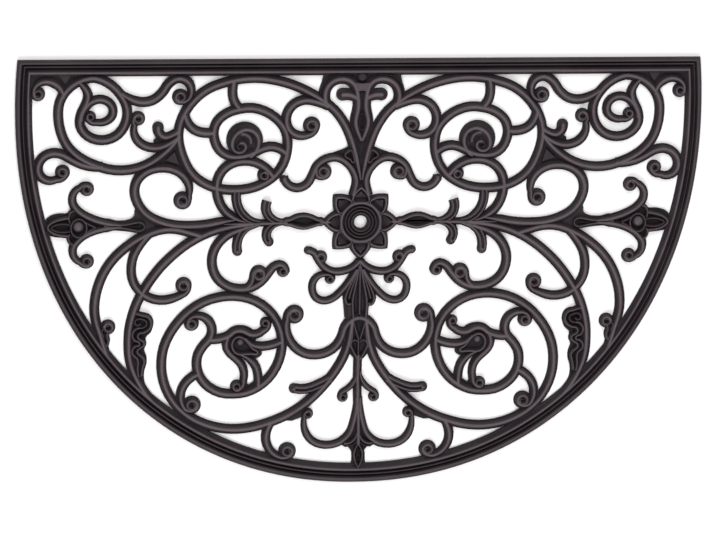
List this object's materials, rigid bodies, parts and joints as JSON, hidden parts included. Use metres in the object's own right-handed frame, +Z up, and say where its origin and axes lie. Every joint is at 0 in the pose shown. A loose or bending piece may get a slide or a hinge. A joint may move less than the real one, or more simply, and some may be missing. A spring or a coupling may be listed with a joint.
{
  "type": "rubber doormat",
  "caption": "Half-round openwork rubber doormat with a grooved border, scrolls and a middle flower, moulded in one flat piece.",
  "frame": {"origin": "middle of the mat's bounding box, on the floor that it lies on", "axes": "+X along the mat's length, parallel to its straight edge; +Y towards the straight edge; +Z up, out of the decorated face"},
  "size_m": [0.7498, 0.473, 0.008],
  "materials": {
    "black_rubber": "satin moulded rubber"
  },
  "bodies": {
    "root": {"openwork_mat": "black_rubber"}
  },
  "joints": []
}
